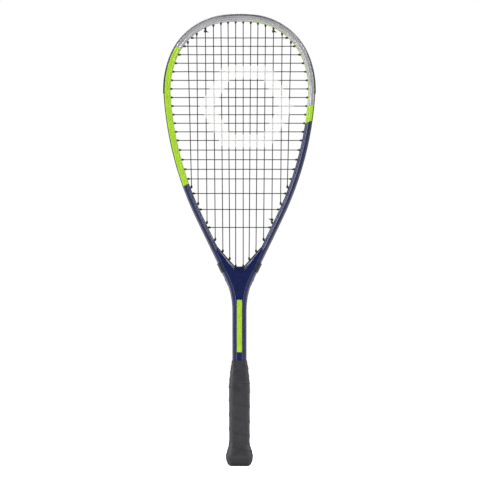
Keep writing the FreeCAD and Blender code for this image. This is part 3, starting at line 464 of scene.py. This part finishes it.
def wound_grip():
    """The tape wound up the handle in overlapping turns, as one closed skin whose rows follow
    the helix. Rows that would run past the ends are held there and merged."""
    low = grip_low.z
    high = grip_high.z
    angles = [math.tau * column / grip_columns for column in range(grip_columns)]
    first_turn = math.floor(turns_at(low))
    row_count = (math.ceil(turns_at(high)) + 2 - first_turn) * rows_per_turn
    mesh = bmesh.new()
    rows = []
    for row in range(row_count):
        share = row / rows_per_turn
        crowded = share - row_crowding * math.sin(math.tau * share) / math.tau
        ring = []
        for angle in angles:
            turns = first_turn + crowded - angle / math.tau - front_turn
            height = min(high, max(low, height_at(turns)))
            ring.append(mesh.verts.new(grip_point(height, angle)))
        if row < rows_per_turn:
            ring.append(mesh.verts.new(grip_point(low, 0)))
        else:
            ring.append(rows[row - rows_per_turn][0])
        rows.append(ring)
    for below, here in zip(rows, rows[1:]):
        for column in range(grip_columns):
            mesh.faces.new((below[column], below[column + 1], here[column + 1], here[column]))
    lining = [[mesh.verts.new(grip_point(height * MM, angle, inner=True)) for angle in angles]
              for height, out in grip_profile[::-1]]
    foot = [mesh.verts.new(grip_point(low, angle)) for angle in angles]
    head = [mesh.verts.new(grip_point(high, angle)) for angle in angles]
    for below, here in zip([head] + lining, lining + [foot]):
        for column in range(grip_columns):
            beside = (column + 1) % grip_columns
            mesh.faces.new((below[column], below[beside], here[beside], here[column]))
    return mesh


def wind_grip():
    """The grip as an object that stands for the CAD sleeve."""
    mesh = wound_grip()
    bmesh.ops.remove_doubles(mesh, verts=mesh.verts, dist=weld_distance)
    bmesh.ops.dissolve_degenerate(mesh, edges=mesh.edges, dist=weld_distance)
    bmesh.ops.recalc_face_normals(mesh, faces=mesh.faces)
    data = bpy.data.meshes.new("wound_grip_tape")
    mesh.to_mesh(data)
    mesh.free()
    data.shade_smooth()
    data.materials.append(cushion_tape("cushion_grip_tape", "#2F2E32"))
    grip = bpy.data.objects.new("wound_grip_tape", data)
    bpy.context.scene.collection.objects.link(grip)
    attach(grip, "root")
    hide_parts("grip_wrap")


# ---------------------------------------------------------------- camera and studio

def stand_camera():
    """A long lens square to the strings, level with the throat."""
    data = bpy.data.cameras.new("camera")
    data.sensor_width = sensor_width
    data.lens = sensor_width * camera_distance / view_width
    camera = bpy.data.objects.new("camera", data)
    camera.location = camera_aim + Vector((0, -camera_distance, 0))
    camera.rotation_euler = (math.pi / 2, 0, 0)
    bpy.context.scene.collection.objects.link(camera)
    bpy.context.scene.camera = camera


def hang_softbox(name, azimuth, elevation, distance, width, height, power):
    """A diffuse panel that faces the racket."""
    data = bpy.data.lights.new(name, "AREA")
    data.shape = "RECTANGLE"
    data.size = width
    data.size_y = height
    data.energy = power
    softbox = bpy.data.objects.new(name, data)
    turn = math.radians(azimuth)
    rise = math.radians(elevation)
    way = Vector((math.sin(turn) * math.cos(rise), -math.cos(turn) * math.cos(rise), math.sin(rise)))
    softbox.location = camera_aim + way * distance
    softbox.rotation_euler = way.to_track_quat("Z", "Y").to_euler()
    softbox.visible_camera = False
    bpy.context.scene.collection.objects.link(softbox)


def light_studio():
    """White all round for the camera, a softer grey for the light it gives, and softboxes."""
    world = bpy.data.worlds.new("studio")
    world.use_nodes = True
    tree = world.node_tree
    tree.nodes.clear()
    seen = add(tree, "LightPath").outputs["Is Camera Ray"]
    strength = add(tree, "Mix", {0: seen, 2: world_light, 3: 1.0}, data_type="FLOAT")
    backdrop = add(tree, "Background", {"Color": linear("#FFFFFF"), "Strength": strength})
    add(tree, "OutputWorld", {"Surface": backdrop})
    bpy.context.scene.world = world
    for softbox in softboxes:
        hang_softbox(*softbox)
    bpy.context.scene.view_settings.view_transform = "Standard"


def lay_floor():
    """A white studio floor that the racket stands on."""
    size = floor_half_size
    data = bpy.data.meshes.new("floor")
    corners = [(-size, -size, 0), (size, -size, 0), (size, size, 0), (-size, size, 0)]
    data.from_pydata(corners, [], [(0, 1, 2, 3)])
    material, tree = start_material("painted_floor")[:2]
    seen = add(tree, "LightPath").outputs["Is Camera Ray"]
    glow = add(tree, "Math", {0: seen, 1: floor_glow}, operation="MULTIPLY")
    finish_material(tree, {"Base Color": linear("#F4F4F4"), "Roughness": 0.8,
                           "Emission Color": linear("#FFFFFF"), "Emission Strength": glow})
    data.materials.append(material)
    floor = bpy.data.objects.new("floor", data)
    bpy.context.scene.collection.objects.link(floor)


# ---------------------------------------------------------------- the whole

paint_frame()
finish_nodes()
wind_grip()
stand_camera()
light_studio()
lay_floor()
